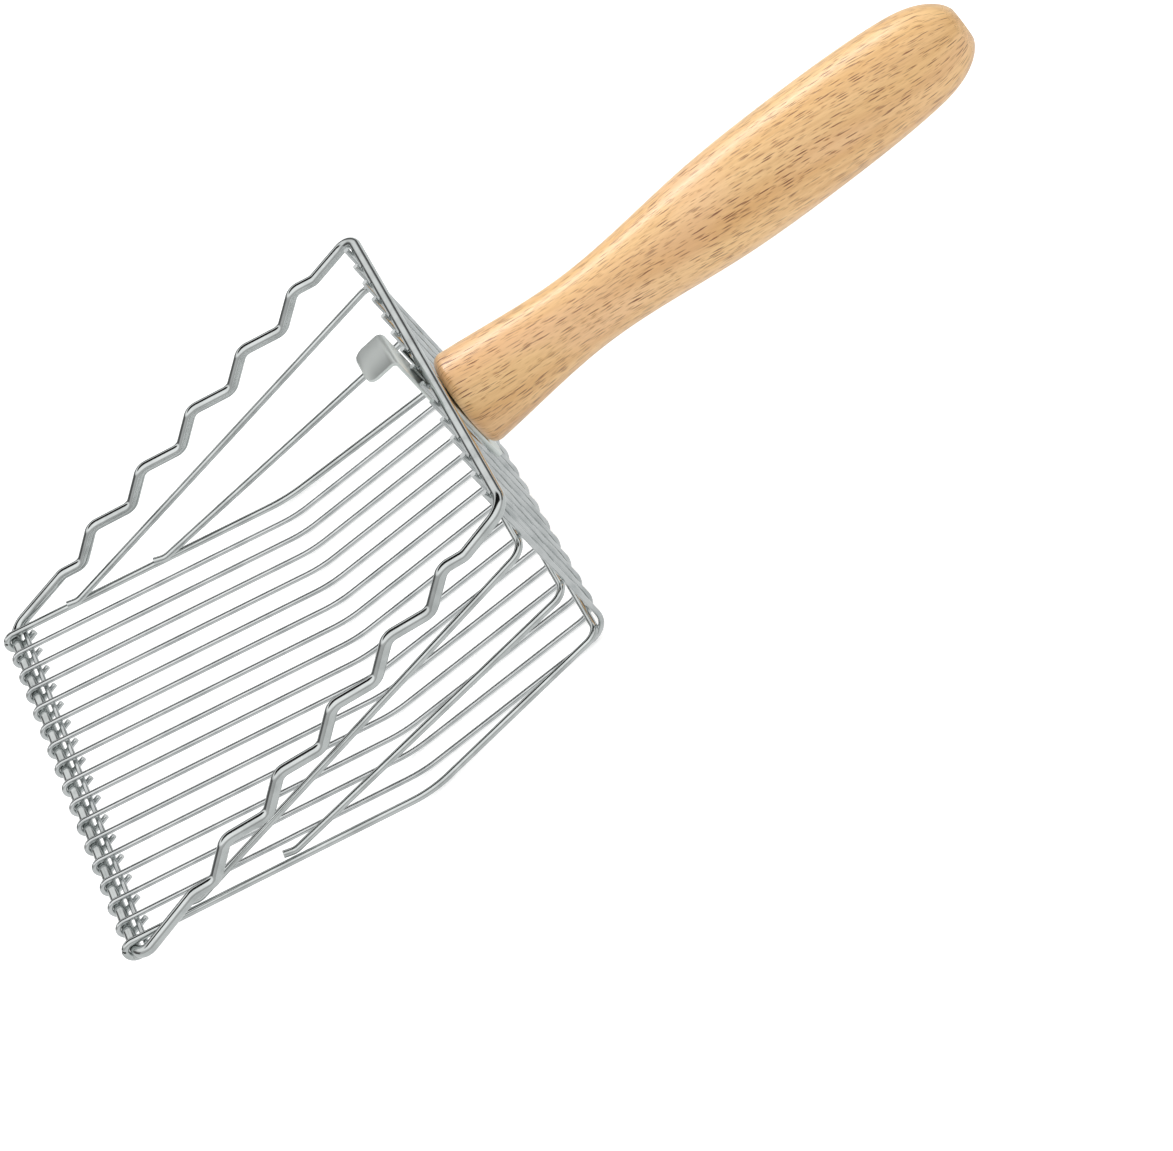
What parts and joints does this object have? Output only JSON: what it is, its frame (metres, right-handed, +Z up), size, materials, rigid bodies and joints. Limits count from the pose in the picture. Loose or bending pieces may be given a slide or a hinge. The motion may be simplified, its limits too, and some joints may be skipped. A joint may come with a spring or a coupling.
{
  "type": "wire sand scoop",
  "caption": "Open wire sifting scoop with a flat back wall, a two-slope wire floor, waved side rails, a top hook tab and a turned wooden handle.",
  "frame": {"origin": "centre of the bounding box in X and Y, at the height of the lowest point of the floor wires", "axes": "+X out of the mouth along the level rear floor, +Y to the scoop's left, +Z up, with the open side up"},
  "size_m": [0.3062, 0.1464, 0.0681],
  "materials": {
    "heavy_wire": "polished",
    "hoop_wire": "polished",
    "sieve_wire": "polished",
    "strip": "satin",
    "stud": "plain",
    "beech": "satin varnish"
  },
  "bodies": {
    "root": {"rim_wire": "heavy_wire", "sieve_wire_01": "sieve_wire", "sieve_wire_02": "sieve_wire", "sieve_wire_03": "sieve_wire", "sieve_wire_04": "sieve_wire", "sieve_wire_05": "sieve_wire", "sieve_wire_06": "sieve_wire", "sieve_wire_07": "sieve_wire", "sieve_wire_08": "sieve_wire", "sieve_wire_09": "sieve_wire", "sieve_wire_10": "sieve_wire", "sieve_wire_11": "sieve_wire", "sieve_wire_12": "sieve_wire", "sieve_wire_13": "sieve_wire", "sieve_wire_14": "sieve_wire", "sieve_wire_15": "sieve_wire", "front_cross_wire": "sieve_wire", "hoop_upper": "hoop_wire", "hoop_middle": "hoop_wire", "hoop_lower": "hoop_wire", "hook_strip": "strip", "handle_plate": "strip", "handle_stud": "stud", "handle_grip": "beech"}
  },
  "joints": []
}
